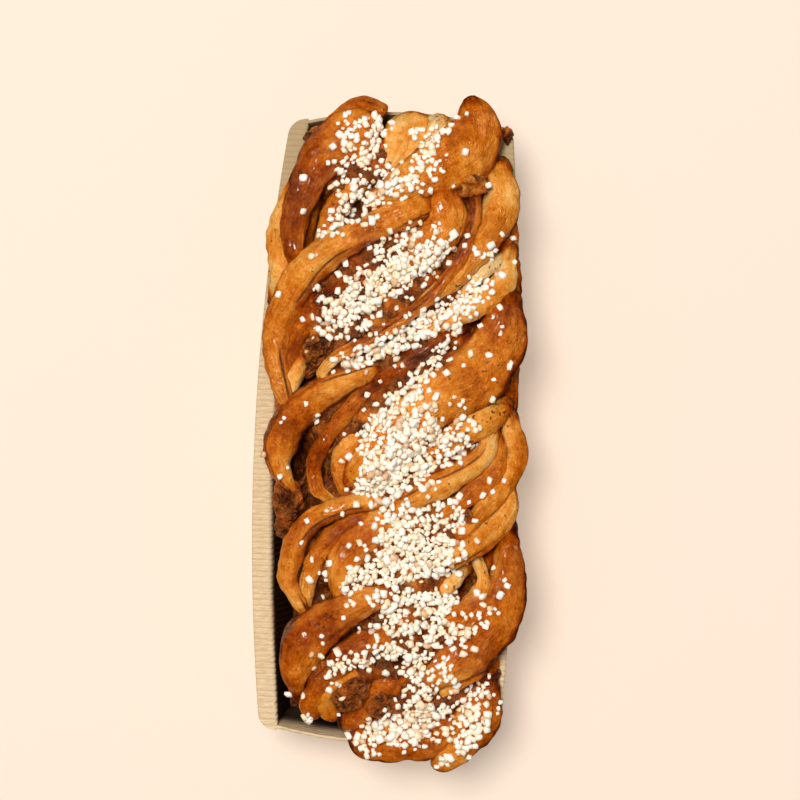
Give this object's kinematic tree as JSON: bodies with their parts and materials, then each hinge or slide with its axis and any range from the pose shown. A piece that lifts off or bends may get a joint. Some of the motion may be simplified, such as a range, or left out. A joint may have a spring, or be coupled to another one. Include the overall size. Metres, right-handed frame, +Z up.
{
  "type": "twisted cinnamon loaf",
  "caption": "Twisted cinnamon loaf with layered folds, glossy crust and pearl sugar, baked in a fluted kraft paper case with side flanges; stands on its flat base",
  "frame": {"origin": "the middle of the flat underside of the paper case, on the surface the loaf stands on", "axes": "+Z up; +Y along the loaf's length, toward the end that is uppermost in the picture; +X to the right in the picture"},
  "size_m": [0.1118, 0.2709, 0.0764],
  "materials": {
    "baked_dough": "glossy brown baked crust with pearl sugar; matte_plastic stands in for baked dough",
    "kraft_paper": "matt fluted kraft paper board; fabric stands in for paper"
  },
  "bodies": {
    "root": {"loaf": "baked_dough", "paper_case": "kraft_paper"}
  },
  "joints": []
}
